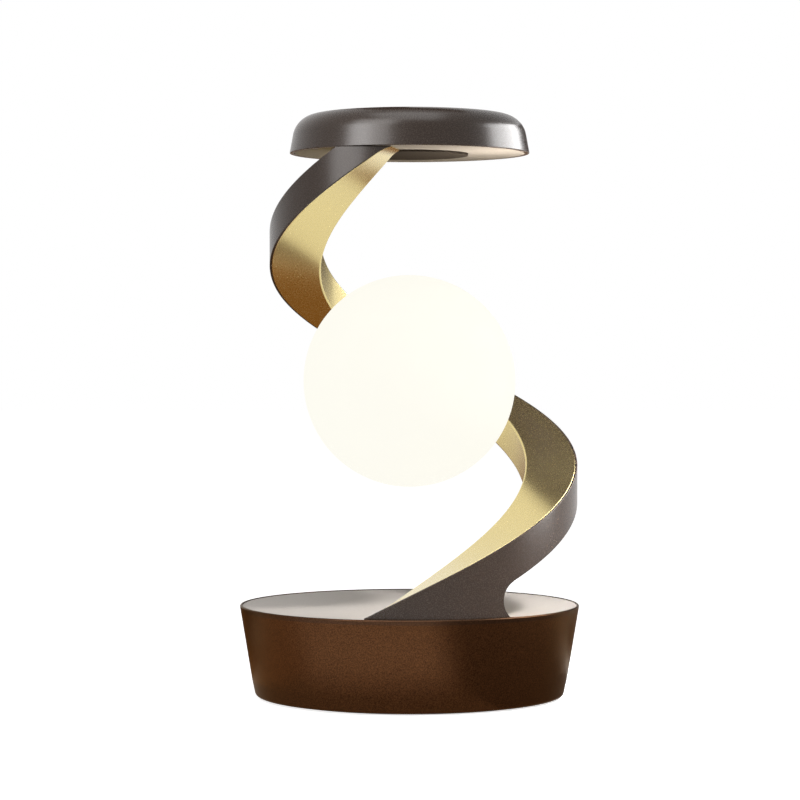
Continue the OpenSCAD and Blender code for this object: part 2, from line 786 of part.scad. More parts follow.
module head_screw_holes(z0, z1)
    for (s = [-1, 1])
        at_angle(block_angle, block_r + s * head_screw_gap / 2, z0)
            cylinder(r = screw_r + fit_gap, h = z1 - z0);

module ribbon_channel()
    color("#c9a85c")
        difference() {
            loft([
                for (a = stops(start_angle, end_angle))
                    bevelled(a, inner_r(a), channel_r(a), floor_z(a), roof_z(a))
            ]);
            difference() {
                loft([
                    for (a = stops(hollow_start, hollow_end, hollow_step))
                        upright(
                            a, inner_r(a) + channel_wall, channel_r(a) + over,
                            floor_z(a) + channel_wall, roof_z(a) - channel_wall
                        )
                ]);
                notch(notch_r + channel_wall);
            }
            notch(notch_r);
            foot_screw_holes(plate_z - over, plate_z + channel_wall + over);
            at_angle(wire_angle, wire_r, plate_z - over)
                cylinder(r = wire_hole_r, h = channel_wall + 2 * over);
            on_hold_line()
                translate([0, 0, hold_wall - stem_r])
                    cylinder(r = stem_r + fit_gap, h = channel_wall + 2 * stem_r);
            head_screw_holes(cap_z - channel_wall - over, cap_z + over);
        }

module ribbon_strip()
    color("#433c38")
        difference() {
            loft([
                for (a = stops(start_angle, end_angle))
                    upright(a, strip_r(a), ribbon_r(a), floor_z(a), roof_z(a))
            ]);
            notch(notch_r);
        }

module foot_block()
    color("#a9abae")
        difference() {
            at_angle(foot_angle, foot_r, plate_z + channel_wall + foot_block_h / 2)
                cube([foot_block_l, foot_block_w, foot_block_h], center = true);
            foot_screw_holes(plate_z, plate_z + channel_wall + foot_block_h + over);
        }

module foot_screws()
    color("#b8b8ba")
        for (s = [-1, 1])
            at_angle(foot_angle, foot_r + s * foot_screw_gap / 2, deck_low_z)
                screw(foot_screw_r, foot_head_r, foot_head_t, foot_screw_l);

module head_block()
    color("#a9abae")
        difference() {
            at_angle(block_angle, block_r, cap_z - channel_wall - head_block_h / 2)
                cube([head_block_l, head_block_w, head_block_h], center = true);
            head_screw_holes(cap_z - channel_wall - head_block_h - over, cap_z);
        }

module head_screws()
    color("#b8b8ba")
        for (s = [-1, 1])
            at_angle(block_angle, block_r + s * head_screw_gap / 2, cap_z + under_t)
                rotate([180, 0, 0])
                    screw(
                        screw_r, screw_head_r, head_t,
                        under_t + channel_wall + head_block_h - screw_short
                    );

module lamp_lead()
    color("#e8e6e0")
        lead(lamp_lead_route, lead_r);

module coil_lead()
    color("#b33a2c")
        lead(coil_lead_route, lead_r);

// Globe

module globe()
    color("#fffdf2")
        on_hold_line()
            difference() {
                sphere(r = globe_r);
                sphere(r = globe_r - globe_wall);
                cylinder(r = neck_r, h = globe_r + over);
            }

// Plug that fills the globe's neck, with a lip that follows the globe's outside
module globe_collar()
    color("#efe9da")
        on_hold_line()
            difference() {
                union() {
                    intersection() {
                        difference() {
                            sphere(r = globe_r + collar_gap + collar_t);
                            sphere(r = globe_r + collar_gap);
                        }
                        cylinder(r = neck_r + collar_lip, h = globe_r + over);
                    }
                    intersection() {
                        sphere(r = globe_r + collar_gap + collar_t);
                        translate([0, 0, collar_face]) cylinder(r = neck_r - collar_gap, h = globe_r);
                    }
                }
                cylinder(r = stem_r + fit_gap, h = globe_r + over);
                translate([0, 0, seal_seat]) cylinder(r = neck_r, h = globe_r);
            }

module collar_seal()
    color("#26262a")
        on_hold_line()
            translate([0, 0, seal_seat]) tube(seal_r, stem_r + fit_gap, seal_back - seal_seat);

module lamp_stem()
    color("#b9bbbf")
        on_hold_line()
            translate([0, 0, sink_front + sink_plate])
                tube(stem_r, stem_bore_r, stem_tail - sink_front - sink_plate);

module stem_nut()
    color("#b9bbbf")
        on_hold_line()
            translate([0, 0, hold_wall + channel_wall + nut_gap]) tube(nut_r, stem_r + fit_gap, nut_t);

module heat_sink()
    color("#c4c6c9")
        on_hold_line()
            difference() {
                translate([0, 0, sink_front]) cylinder(r = sink_r, h = sink_l);
                translate([0, 0, sink_front + sink_plate])
                    cylinder(r = stem_r + fit_gap, h = sink_l);
                translate([0, 0, sink_front - over]) cylinder(r = stem_bore_r, h = sink_l);
                for (i = [0:sink_fins - 1])
                    translate([0, 0, sink_front + sink_plate + i * fin_pitch])
                        tube(sink_r + over, sink_core_r, fin_pitch / 2);
            }

module light_board()
    color("#f2f2f0")
        on_hold_line()
            translate([0, 0, sink_front - light_board_t]) tube(sink_r, stem_bore_r, light_board_t);

module light_chips()
    color("#ffe9a8")
        on_hold_line()
            for (a = [0:45:315])
                rotate([0, 0, a])
                    translate([light_chip_ring, 0, sink_front - light_board_t - light_chip_t / 2])
                        cube([light_chip, light_chip, light_chip_t], center = true);

// Cap

module cap_outline(inset, z0) {
    low_r = cap_r - inset / cos(cap_lean);
    fillet = max(cap_fillet - inset, 0.5);
    top_z = cap_z + cap_h - inset;
    arc_z = top_z - fillet;
    arc_r = low_r - (fillet + (arc_z - cap_z) * sin(cap_lean)) / cos(cap_lean);
    polygon(concat(
        [[0, z0], [low_r, z0], [low_r, cap_z]],
        [for (i = [0:round_steps])
            let (b = cap_lean + (90 - cap_lean) * i / round_steps)
            [arc_r + fillet * cos(b), arc_z + fillet * sin(b)]],
        [[0, top_z]]
    ));
}

module cap_shell()
    color("#453d39")
        difference() {
            union() {
                difference() {
                    rotate_extrude() cap_outline(0, cap_z);
                    rotate_extrude() cap_outline(cap_wall, cap_z - over);
                }
                for (a = third_angles)
                    at_angle(a, cap_screw_ring, cap_boss_low)
                        cylinder(r = boss_r, h = cap_h - under_t - cap_wall + join);
            }
            for (a = third_angles)
                at_angle(a, cap_screw_ring, cap_boss_low - over)
                    cylinder(r = screw_r + fit_gap, h = screw_bite + screw_short + over);
        }

module under_plate()
    color("#c9b9ad")
        difference() {
            translate([0, 0, cap_z])
                cylinder(
                    r1 = cap_inner_r(cap_z) - fit_gap, r2 = cap_inner_r(cap_z + under_t) - fit_gap,
                    h = under_t
                );
            translate([0, 0, cap_z - over]) cylinder(r = hub_r + hub_gap, h = hub_seat + over);
            translate([0, 0, cap_z - over]) cylinder(r = hub_pin_r + hub_gap, h = under_t + 2 * over);
            for (a = third_angles)
                at_angle(a, cap_screw_ring, cap_z - over) {
                    cylinder(r = screw_r + fit_gap, h = under_t + 2 * over);
                    cylinder(r = screw_head_r + fit_gap, h = cap_seat_z - cap_z + over);
                }
            head_screw_holes(cap_z - over, cap_z + under_t + over);
        }

module cap_screws()
    color("#b8b8ba")
        for (a = third_angles)
            at_angle(a, cap_screw_ring, cap_seat_z)
                screw(screw_r, screw_head_r, cap_head_t, cap_boss_low - cap_seat_z + screw_bite);

module hub_cover()
    color("#4c443e")
        union() {
            translate([0, 0, cap_z - hub_proud]) cylinder(r = hub_r, h = hub_t);
            translate([0, 0, cap_z]) cylinder(r = hub_pin_r, h = under_t + hub_pin_out);
        }

base_shell();
rim_trim();
charging_plate();
charging_coil();
ferrite_disc();
coil_tray();
tray_screws();
bottom_cover();
cover_screws();
foot_pad();
ballast_plate();
ballast_screws();
main_board();
board_screws();
board_parts();
inlet_shell();
inlet_tongue();
rear_panel();
power_button();
tone_button();
power_plunger();
tone_plunger();
switch_bodies();
ribbon_channel();
ribbon_strip();
foot_block();
foot_screws();
head_block();
head_screws();
lamp_lead();
coil_lead();
globe();
globe_collar();
collar_seal();
lamp_stem();
stem_nut();
heat_sink();
light_board();
light_chips();
cap_shell();
under_plate();
cap_screws();
hub_cover();
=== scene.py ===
import math

import bmesh
import bpy
from mathutils import Matrix, Vector


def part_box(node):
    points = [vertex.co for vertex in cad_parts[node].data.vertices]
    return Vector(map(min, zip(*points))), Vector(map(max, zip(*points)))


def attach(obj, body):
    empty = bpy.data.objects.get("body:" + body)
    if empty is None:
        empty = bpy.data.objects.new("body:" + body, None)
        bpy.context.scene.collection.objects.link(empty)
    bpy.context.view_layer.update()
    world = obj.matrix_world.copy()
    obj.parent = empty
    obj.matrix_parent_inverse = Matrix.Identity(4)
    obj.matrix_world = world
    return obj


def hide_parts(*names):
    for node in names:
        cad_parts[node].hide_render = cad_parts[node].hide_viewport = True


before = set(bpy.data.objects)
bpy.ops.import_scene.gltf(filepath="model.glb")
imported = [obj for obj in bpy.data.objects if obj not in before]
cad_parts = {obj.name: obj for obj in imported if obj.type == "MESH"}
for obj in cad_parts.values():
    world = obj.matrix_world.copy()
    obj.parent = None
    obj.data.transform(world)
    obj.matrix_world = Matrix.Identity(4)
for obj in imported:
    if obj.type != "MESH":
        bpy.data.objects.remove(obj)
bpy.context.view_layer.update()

# Bottom cover and its screws
# A round plate of black moulded plastic closes the base from below. Four steel screws hold it, and two
# more hold the ballast. It keeps the exact shape of its solid and gets the fine grain of a moulding.
mm = 0.001


def shade(red, green, blue):
    """A colour written as it looks on a screen, 0 to 255, in the linear values that a shader takes."""
    def linear(c):
        c /= 255
        return c / 12.92 if c <= 0.04045 else ((c + 0.055) / 1.055) ** 2.4
    return (linear(red), linear(green), linear(blue), 1)


def finish(name, dark, light, grain, rough, play, relief, depth, **sockets):
    """A finish with one fine grain, in grains to the metre, that moves its colour, gloss and relief."""
    made = bpy.data.materials.new(name)
    made.use_nodes = True
    tree = made.node_tree
    shader = tree.nodes["Principled BSDF"]
    where = tree.nodes.new("ShaderNodeTexCoord")
    noise = tree.nodes.new("ShaderNodeTexNoise")
    noise.inputs["Scale"].default_value = grain
    noise.inputs["Detail"].default_value = 4
    tree.links.new(where.outputs["Object"], noise.inputs["Vector"])
    tint = tree.nodes.new("ShaderNodeValToRGB")
    ramp_span = (0.34, 0.66)
    for stop, position, colour in zip(tint.color_ramp.elements, ramp_span, (dark, light)):
        stop.position = position
        stop.color = colour
    tree.links.new(noise.outputs["Fac"], tint.inputs["Fac"])
    tree.links.new(tint.outputs["Color"], shader.inputs["Base Color"])
    gloss = tree.nodes.new("ShaderNodeMapRange")
    gloss.inputs["To Min"].default_value = rough - play
    gloss.inputs["To Max"].default_value = rough + play
    tree.links.new(noise.outputs["Fac"], gloss.inputs["Value"])
    tree.links.new(gloss.outputs["Result"], shader.inputs["Roughness"])
    bump = tree.nodes.new("ShaderNodeBump")
    bump.inputs["Strength"].default_value = relief
    bump.inputs["Distance"].default_value = depth
    tree.links.new(noise.outputs["Fac"], bump.inputs["Height"])
    tree.links.new(bump.outputs["Normal"], shader.inputs["Normal"])
    for socket, value in sockets.items():
        shader.inputs[socket.replace("_", " ")].default_value = value
    return made


def dress(made, *names):
    """Gives the solids of these CAD nodes a finish."""
    for name in names:
        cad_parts[name].data.materials.clear()
        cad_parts[name].data.materials.append(made)


moulded_black = finish(
    "moulded black plastic", shade(34, 31, 29), shade(52, 47, 44), 1800, 0.5, 0.08, 0.35, 0.1 * mm
)
zinc_steel = finish(
    "zinc plated steel", shade(150, 151, 154), shade(205, 206, 208), 900, 0.3, 0.1, 0.1, 0.05 * mm,
    Metallic=1.0,
)
dress(moulded_black, "bottom_cover")
dress(zinc_steel, "cover_screws", "ballast_screws")

# Foot pad
# A ring of black rubber under the base keeps the lamp from sliding and from marking a table.
# It is moulded with eased edges and glued into a groove of the bottom cover.


def eased(corners, steps=5):
    """A closed outline through (radius, height, rounding) corners, each rounded off by a short arc."""
    outline = []
    for i, (r, z, rounding) in enumerate(corners):
        here = Vector((r, z))
        if not rounding:
            outline.append((r, z))
            continue
        before = (Vector(corners[i - 1][:2]) - here).normalized()
        after = (Vector(corners[(i + 1) % len(corners)][:2]) - here).normalized()
        half = before.angle(after) / 2
        centre = here + (before + after).normalized() * (rounding / math.sin(half))
        first = here + before * (rounding / math.tan(half)) - centre
        last = here + after * (rounding / math.tan(half)) - centre
        for k in range(steps + 1):
            spoke = first.lerp(last, k / steps).normalized() * rounding
            outline.append(tuple(centre + spoke))
    return outline


def smoothed(piece, crease=35):
    """Shades a piece smooth up to a crease angle, with its flat faces kept flat."""
    piece.data.shade_smooth()
    piece.data.set_sharp_from_angle(angle=math.radians(crease))
    flat = piece.modifiers.new("flat faces stay flat", "WEIGHTED_NORMAL")
    flat.keep_sharp = True
    return piece


def plain_piece(name, form):
    """A mesh object from a bmesh, not yet shaded."""
    bmesh.ops.recalc_face_normals(form, faces=form.faces[:])
    mesh = bpy.data.meshes.new(name)
    form.to_mesh(mesh)
    form.free()
    piece = bpy.data.objects.new(name, mesh)
    bpy.context.scene.collection.objects.link(piece)
    return piece


def skin(form, near, far):
    """Faces between two closed rings of vertices; a ring of one vertex is the middle of a disc."""
    count = max(len(near), len(far))
    for k in range(count):
        corners = [near[k % len(near)], near[(k + 1) % len(near)]]
        corners += [far[(k + 1) % len(far)], far[k % len(far)]]
        corners = list(dict.fromkeys(corners))
        if len(corners) > 2:
            form.faces.new(corners)


def turned_rings(form, outline, sides):
    """A ring of vertices round the Z axis for each (radius, height) point of an outline."""
    on_axis = 1e-7
    rings = []
    for r, z in outline:
        count = sides if r > on_axis else 1
        turns = [math.tau * k / count for k in range(count)]
        rings.append([form.verts.new((r * math.sin(t), -r * math.cos(t), z)) for t in turns])
    return rings


def turned(name, outline, sides=256):
    """A piece turned round the Z axis from a closed outline."""
    form = bmesh.new()
    rings = turned_rings(form, outline, sides)
    for near, far in zip(rings, rings[1:] + rings[:1]):
        skin(form, near, far)
    return smoothed(plain_piece(name, form))


def seat(piece, made, slot, *stands_for, body="lamp"):
    """Gives a new piece its finish, and puts it on its body in place of the CAD nodes it stands for."""
    piece.data.materials.clear()
    piece.data.materials.append(made)
    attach(piece, body)
    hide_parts(*stands_for)


pad_low, pad_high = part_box("foot_pad")
pad_w = 9 * mm
pad_ease = 0.5 * mm
black_rubber = finish(
    "black rubber", shade(24, 24, 25), shade(40, 40, 41), 2600, 0.75, 0.08, 0.5, 0.1 * mm
)
foot_pad = turned("foot_pad_ring", eased([
    (pad_high.x - pad_w, pad_low.z, pad_ease), (pad_high.x, pad_low.z, pad_ease),
    (pad_high.x, pad_high.z, 0), (pad_high.x - pad_w, pad_high.z, 0),
]))
seat(foot_pad, black_rubber, "rubber", "foot_pad")

# Ballast plate
# A thick half round of rolled steel on the bottom cover keeps the tall lamp from tipping over.
# It is sawn from sheet, so its faces keep a dull mill scale.
mill_steel = finish(
    "rolled steel", shade(96, 98, 102), shade(142, 145, 150), 320, 0.48, 0.12, 0.2, 0.1 * mm, Metallic=1.0
)
dress(mill_steel, "ballast_plate")

# Main board with its parts, switches and plungers
# The board carries the supply, the charging circuit and the two push switches. It is green laminate
# on four posts of the bottom cover; the parts on it are black mouldings and the leads plug in at its front.
board_mask = finish(
    "green board mask", shade(22, 92, 48), shade(34, 122, 66), 240, 0.35, 0.06, 0.15, 0.05 * mm
)
part_black = finish(
    "black part casing", shade(40, 40, 42), shade(66, 66, 69), 1200, 0.45, 0.1, 0.2, 0.05 * mm
)
switch_case = finish(
    "pale switch casing", shade(192, 192, 195), shade(218, 218, 220), 1400, 0.4, 0.08, 0.2, 0.05 * mm
)
plunger_nylon = finish(
    "black nylon", shade(24, 24, 26), shade(38, 38, 40), 1600, 0.42, 0.08, 0.2, 0.05 * mm
)
dress(board_mask, "main_board")
dress(part_black, "board_parts")
dress(zinc_steel, "board_screws")
dress(switch_case, "switch_bodies")
dress(plunger_nylon, "power_plunger", "tone_plunger", "inlet_tongue")

# Power inlet
# A small oval shell of drawn steel at the back of the base takes the plug of the supply.
# Its front lip is rolled round, and a thin black tongue with the contacts stands in its middle.


def pill_point(width, height, share):
    """A point on the outline of a bar with round ends, from the middle of its foot, share 0 to 1."""
    r = height / 2
    straight = (width - height) / 2
    quarter = straight + r * math.pi / 2
    along = (share % 1) * 4 * quarter
    part, rest = divmod(along, quarter)
    odd = int(part) % 2
    rest = quarter - rest if odd else rest
    turn = max(0, rest - straight) / r
    x = min(rest, straight) + r * math.sin(turn)
    z = r * math.cos(turn)
    return (x if part in (0, 1) else -x), (-z if part in (0, 3) else z)


def pill_points(width, height, count, way=1):
    """The outline of a bar with round ends; way -1 winds it as a hole."""
    return [pill_point(width, height, way * k / count) for k in range(count)]


def pill_loft(name, width, height, middle_z, rings, count=96):
    """A closed piece through upright pill rings, each given by its inset and its place along Y."""
    form = bmesh.new()
    loops = []
    for inset, y in rings:
        points = pill_points(width - 2 * inset, height - 2 * inset, count)
        loops.append([form.verts.new((x, y, middle_z + z)) for x, z in points])
    for near, far in zip(loops, loops[1:]):
        skin(form, near, far)
    form.faces.new(loops[0])
    form.faces.new(loops[-1])
    return smoothed(plain_piece(name, form))


inlet_low, inlet_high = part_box("inlet_shell")
inlet_wall = 0.3 * mm
inlet_back = 2 * mm
inlet_middle = (inlet_low.z + inlet_high.z) / 2
lip = inlet_wall / 2
inlet_lip_turns = [math.radians(b) for b in range(0, 181, 30)]
inlet_rings = [(0, inlet_low.y)]
inlet_rings += [(lip - lip * math.cos(b), inlet_high.y - lip + lip * math.sin(b)) for b in inlet_lip_turns]
inlet_rings += [(inlet_wall, inlet_low.y + inlet_back)]
drawn_steel = finish(
    "drawn steel", shade(172, 174, 178), shade(212, 214, 217), 1500, 0.26, 0.08, 0.08, 0.03 * mm, Metallic=1.0
)
inlet = pill_loft(
    "inlet_can", inlet_high.x - inlet_low.x, inlet_high.z - inlet_low.z, inlet_middle, inlet_rings
)
seat(inlet, drawn_steel, "bright_metal", "inlet_shell")

# Base shell
# The round base is a moulded drum, wider at its rim, with its foot edge rounded. It has a satin brown
# paint with a fine metallic grain. A flat window for the rear panel goes through its back.
base_h = 43.5 * mm
base_flare = 7.2 * mm
base_fillet = 2 * mm
shell_wall = 2.6 * mm
deck_low = 38.2 * mm
tray_way_r = 24.6 * mm
base_low, base_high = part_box("base_shell")
rim_low, rim_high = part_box("rim_trim")
base_r = base_high.x + base_flare * (base_h - base_high.z) / base_h
window_w = 42.2 * mm
window_h = 12.2 * mm
window_lip = 0.5 * mm
window_half_rows = 5
window_row = 1.8 * mm
window_columns = 14
window_shares = (0.2, 0.45, 0.72)
base_sides = 256
same_place = 1e-6


def wall_r(z):
    """Radius of the outside of the base at a height."""
    return base_r - base_flare * (base_h - z) / base_h


form = bmesh.new()
slope = math.degrees(math.atan(base_flare / base_h))
fillet_r = wall_r(base_low.z) - base_fillet
fillet_steps = 10
outside = []
for k in range(fillet_steps + 1):
    b = math.radians(-90 + (90 - slope) * k / fillet_steps)
    outside.append((fillet_r + base_fillet * math.cos(b), base_low.z + base_fillet * (1 + math.sin(b))))
window_zs = [inlet_middle + window_row * i for i in range(-window_half_rows, window_half_rows + 1)]
outside += [(wall_r(z), z) for z in window_zs]
outside += [(wall_r(base_high.z), base_high.z), (tray_way_r, base_high.z), (tray_way_r, deck_low)]
inside = [(wall_r(deck_low) - shell_wall, deck_low)]
inside += [(wall_r(z) - shell_wall, z) for z in reversed(window_zs)]
inside += [(wall_r(base_low.z) - shell_wall, base_low.z)]
base_rings = turned_rings(form, outside + inside, base_sides)
outer_rows = base_rings[fillet_steps + 1:fillet_steps + 1 + len(window_zs)]
inner_rows = base_rings[len(outside) + 1:len(outside) + 1 + len(window_zs)][::-1]
back = base_sides // 2
open_columns = range(back - window_columns, back + window_columns)
for near, far in zip(base_rings, base_rings[1:] + base_rings[:1]):
    in_window = near in outer_rows and far in outer_rows or near in inner_rows and far in inner_rows
    for k in range(base_sides):
        if in_window and k in open_columns:
            continue
        nxt = (k + 1) % base_sides
        form.faces.new([near[k], near[nxt], far[nxt], far[k]])


def window_patch(rows, radius_at, lip_steps):
    """Closes the wall round the window, from its rows of vertices in to the edge of the opening."""
    first, last = back - window_columns, back + window_columns
    rim = [rows[0][k] for k in range(first, last)] + [row[last] for row in rows[:-1]]
    rim += [rows[-1][k] for k in range(last, first, -1)] + [row[first] for row in rows[:0:-1]]
    high = window_half_rows * window_row
    wide = radius_at(inlet_middle) * math.sin(math.tau * window_columns / base_sides)
    edges = []
    for v in rim:
        x, z = v.co.x, v.co.z - inlet_middle
        on_foot = abs(abs(z) - high) < same_place
        along = min(abs(x), wide) if on_foot else wide + high - abs(z)
        share = along / (wide + high) / 4
        px, pz = pill_point(window_w, window_h, share)
        edges.append((math.copysign(px, x), math.copysign(pz, z)))
    loops = []
    places = [(window_lip * (1 - math.cos(b)), window_lip * (1 - math.sin(b))) for b in lip_steps]
    places += [(share, None) for share in window_shares]
    for out, sunk in places:
        loop = []
        for v, (px, pz) in zip(rim, edges):
            edge = Vector((px, pz))
            away = Vector((v.co.x, v.co.z - inlet_middle)) - edge
            if sunk is None:
                at = edge + away * out
            else:
                at = edge + away.normalized() * out
            z = inlet_middle + at.y
            y = math.sqrt(radius_at(z) ** 2 - at.x ** 2) - (sunk or 0)
            loop.append(form.verts.new((at.x, y, z)))
        loops.append(loop)
    loops.append(rim)
    for near, far in zip(loops, loops[1:]):
        skin(form, near, far)
    return loops[0]


lip_turns = [math.radians(b) for b in (0, 22.5, 45, 67.5, 90)]
outer_edge = window_patch(outer_rows, wall_r, lip_turns)
inner_edge = window_patch(inner_rows, lambda z: wall_r(z) - shell_wall, [math.radians(90)])
skin(form, outer_edge, inner_edge)
base_brown = finish(
    "satin brown paint", shade(53, 33, 19), shade(84, 55, 33), 2000, 0.36, 0.06, 0.3, 0.08 * mm,
    Metallic=1.0, Specular_Tint=(0.68, 0.62, 0.55, 1),
)
base_shell = smoothed(plain_piece("base_drum", form))
seat(base_shell, base_brown, "base_brown", "base_shell")

# Rear panel
# A flat black moulding fills the window at the back, with one way for the inlet and two for the buttons.
# A flange behind it bears on the inside of the wall, and all its front edges are eased.
panel_low, panel_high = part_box("rear_panel")
panel_w = 42 * mm
panel_h = 12 * mm
panel_t = 3.5 * mm
panel_lip = 1.4 * mm
panel_lip_t = 1.2 * mm
panel_ease = 0.25 * mm
inlet_way_w = 9.14 * mm
inlet_way_h = 3.46 * mm
button_x = 13 * mm
button_way_r = 3.6 * mm
panel_points = 96
inlet_way_points = 64


def flat_plate(name, outlines, front_y, depth, ease):
    """A plate that faces +Y, filled between its outer outline and its holes, with eased edges."""
    drawing = bpy.data.curves.new(name, "CURVE")
    drawing.dimensions = "2D"
    drawing.fill_mode = "BOTH"
    drawing.extrude = depth / 2 - ease
    drawing.bevel_depth = ease
    drawing.bevel_resolution = 2
    drawing.offset = -ease
    for points in outlines:
        line = drawing.splines.new("POLY")
        line.points.add(len(points) - 1)
        line.use_cyclic_u = True
        for point, (x, z) in zip(line.points, points):
            point.co = (x, z, 0, 1)
    drawn = bpy.data.objects.new(name, drawing)
    bpy.context.scene.collection.objects.link(drawn)
    drawn_mesh = bpy.data.meshes.new_from_object(drawn.evaluated_get(bpy.context.evaluated_depsgraph_get()))
    bpy.data.objects.remove(drawn)
    upright = Matrix.Rotation(math.pi / 2, 4, "X")
    drawn_mesh.transform(Matrix.Translation((0, front_y - depth / 2, inlet_middle)) @ upright)
    return drawn_mesh


def ring_points(x, r, count=48):
    """A circle of points, wound as a hole."""
    turns = [math.tau * k / count for k in range(count)]
    return [(x + r * math.cos(t), -r * math.sin(t)) for t in turns]


panel_outline = pill_points(panel_w, panel_h, panel_points)
flange_outline = pill_points(panel_w + 2 * panel_lip, panel_h + 2 * panel_lip, panel_points)
inlet_way = pill_points(inlet_way_w, inlet_way_h, inlet_way_points, way=-1)
panel_ways = [inlet_way, ring_points(-button_x, button_way_r), ring_points(button_x, button_way_r)]
form = bmesh.new()
form.from_mesh(flat_plate("panel_face", [panel_outline] + panel_ways, panel_high.y, panel_t, panel_ease))
form.from_mesh(flat_plate(
    "panel_flange", [flange_outline] + panel_ways, panel_low.y + panel_lip_t, panel_lip_t, panel_ease
))
bmesh.ops.remove_doubles(form, verts=form.verts[:], dist=same_place)
panel_black = finish(
    "textured black panel", shade(36, 32, 30), shade(56, 50, 46), 2400, 0.5, 0.08, 0.5, 0.12 * mm
)
rear_panel = smoothed(plain_piece("panel_plate", form))
seat(rear_panel, panel_black, "panel_dark", "rear_panel")

# Push buttons
# Two grey buttons stand out of the rear panel: one for power, one for the tone of the light.
# Each is turned with a dished face, a flange that keeps it behind the panel and a stem on its switch.
button_r = 3.5 * mm
button_lip = 0.9 * mm
button_lip_t = 1.3 * mm
button_lip_ease = 0.15 * mm
button_play = 0.2 * mm
button_round = 0.6 * mm
button_dish = 0.3 * mm
button_dish_r = button_r * 0.66
button_dish_round = 0.8 * mm
button_sides = 64
plunger_r = 1.2 * mm
satin_grey = finish(
    "satin grey button", shade(128, 124, 120), shade(158, 154, 150), 1500, 0.38, 0.06, 0.2, 0.05 * mm
)
for name, body in (("power_button", "power_key"), ("tone_button", "tone_key")):
    low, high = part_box(name)
    length = high.y - low.y
    flange = panel_low.y - button_play - button_lip_t - low.y
    outline = eased([
        (0, 0, 0), (plunger_r, 0, 0), (plunger_r, flange, 0),
        (button_r + button_lip, flange, button_lip_ease),
        (button_r + button_lip, flange + button_lip_t, button_lip_ease),
        (button_r, flange + button_lip_t, 0), (button_r, length, button_round),
        (button_dish_r, length, button_dish_round), (0, length - button_dish, 0),
    ])
    button = turned(name + "_cap", outline, button_sides)
    middle = (low.x + high.x) / 2
    button.data.transform(
        Matrix.Translation((middle, low.y, inlet_middle)) @ Matrix.Rotation(-math.pi / 2, 4, "X")
    )
    seat(button, satin_grey, "button_grey", name, body=body)

# Charging coil, ferrite, tray and lead
# The coil is wound flat from enamelled copper and lies on a ferrite disc in a white moulded tray.
# Three small screws hold the tray under the deck, and a red lead runs from it to the board.
copper_wire = finish(
    "enamelled copper", shade(150, 88, 42), shade(196, 122, 66), 1600, 0.32, 0.08, 0.3, 0.1 * mm, Metallic=1.0
)
ferrite_black = finish("ferrite", shade(38, 38, 41), shade(58, 58, 62), 900, 0.6, 0.1, 0.3, 0.1 * mm)
tray_white = finish(
    "white moulding", shade(214, 211, 204), shade(232, 230, 224), 1500, 0.45, 0.08, 0.2, 0.05 * mm
)
red_sleeve = finish(
    "red lead sleeve", shade(160, 44, 34), shade(190, 62, 48), 1200, 0.4, 0.06, 0.15, 0.05 * mm
)
dress(copper_wire, "charging_coil")
dress(ferrite_black, "ferrite_disc")
dress(tray_white, "coil_tray")
dress(zinc_steel, "tray_screws")
dress(red_sleeve, "coil_lead")

# Charging plate
# A round sheet of satin, pale composite lies on the deck and is what a phone is laid on.
# It is glued down inside the rim, a hair below it, and its edge is eased.
plate_low, plate_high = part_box("charging_plate")
plate_ease = 0.25 * mm
pale_plate = finish(
    "satin pale plate", shade(155, 148, 141), shade(167, 160, 154), 1400, 0.42, 0.05, 0.12, 0.04 * mm,
    Specular_IOR_Level=0.1,
)
charging_plate = turned("charging_disc", eased([
    (0, plate_low.z, 0), (plate_high.x, plate_low.z, 0), (plate_high.x, plate_high.z, plate_ease),
    (0, plate_high.z, 0),
]))
seat(charging_plate, pale_plate, "plate_pale", "charging_plate")

# Rim trim
# A thin ring of turned metal, brown like the base, closes its upper edge and hides the edge of the plate.
# Its outer edge is bevelled, and the bevel carries a brighter line all round.
rim_w = 1.2 * mm
rim_bevel = 0.5 * mm
rim_ease = 0.2 * mm
rim_in_ease = 0.1 * mm
rim_in_r = base_r - rim_w
bevel_z = rim_high.z - rim_bevel
rim_metal = finish(
    "turned rim metal", shade(50, 34, 23), shade(70, 49, 35), 1800, 0.34, 0.06, 0.15, 0.05 * mm,
    Metallic=1.0, Specular_Tint=(0.68, 0.62, 0.55, 1),
)
rim_trim = turned("rim_ring", eased([
    (rim_in_r, rim_low.z, 0), (wall_r(rim_low.z), rim_low.z, 0), (wall_r(bevel_z), bevel_z, rim_ease),
    (base_r - rim_bevel, rim_high.z, rim_ease), (rim_in_r, rim_high.z, rim_in_ease),
]))
seat(rim_trim, rim_metal, "trim_metal", "rim_trim")

# Ribbon channel
# The ribbon climbs almost one turn from the base to the cap. Its gold side is an aluminium channel, bent
# on edge to the climb, with its inner edges eased, and satin anodised in pale gold.
plate_z = plate_high.z
cap_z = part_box("cap_shell")[0].z
ribbon_w = 24.5 * mm
foot_h = 19 * mm
head_h = 16.2 * mm
tip_angle = -16.2
ribbon_turn = 340.3
head_angle = tip_angle + ribbon_turn
wide_angle = 77.8
hold_angle = 164.5
hold_r = 76.5 * mm
draw_angle = 350
end_r = 52.5 * mm
climb_lead = 0.081
climb_ease = 0.102
head_ease = 6
strip_t = 1 * mm
strip_gap = 0.05 * mm
channel_wall = 2 * mm
channel_ease = 0.9 * mm
seam_ease = 0.3 * mm
notch_r = 9.5 * mm
notch_angle = 39.6
tip_h = 0.5 * mm
least_hollow = 5 * mm
hollow_over = 1 * mm
search_angle = head_angle - 30
sweep_step = 0.75
hollow_step = 0.71
hair = 0.01
ease_steps = 4
thin_ease = 0.35
thin_seam = 0.2


def turn_square(a):
    """Square of the share of a turn between an angle and the ribbon's widest place."""
    return ((a - wide_angle) / 360) ** 2


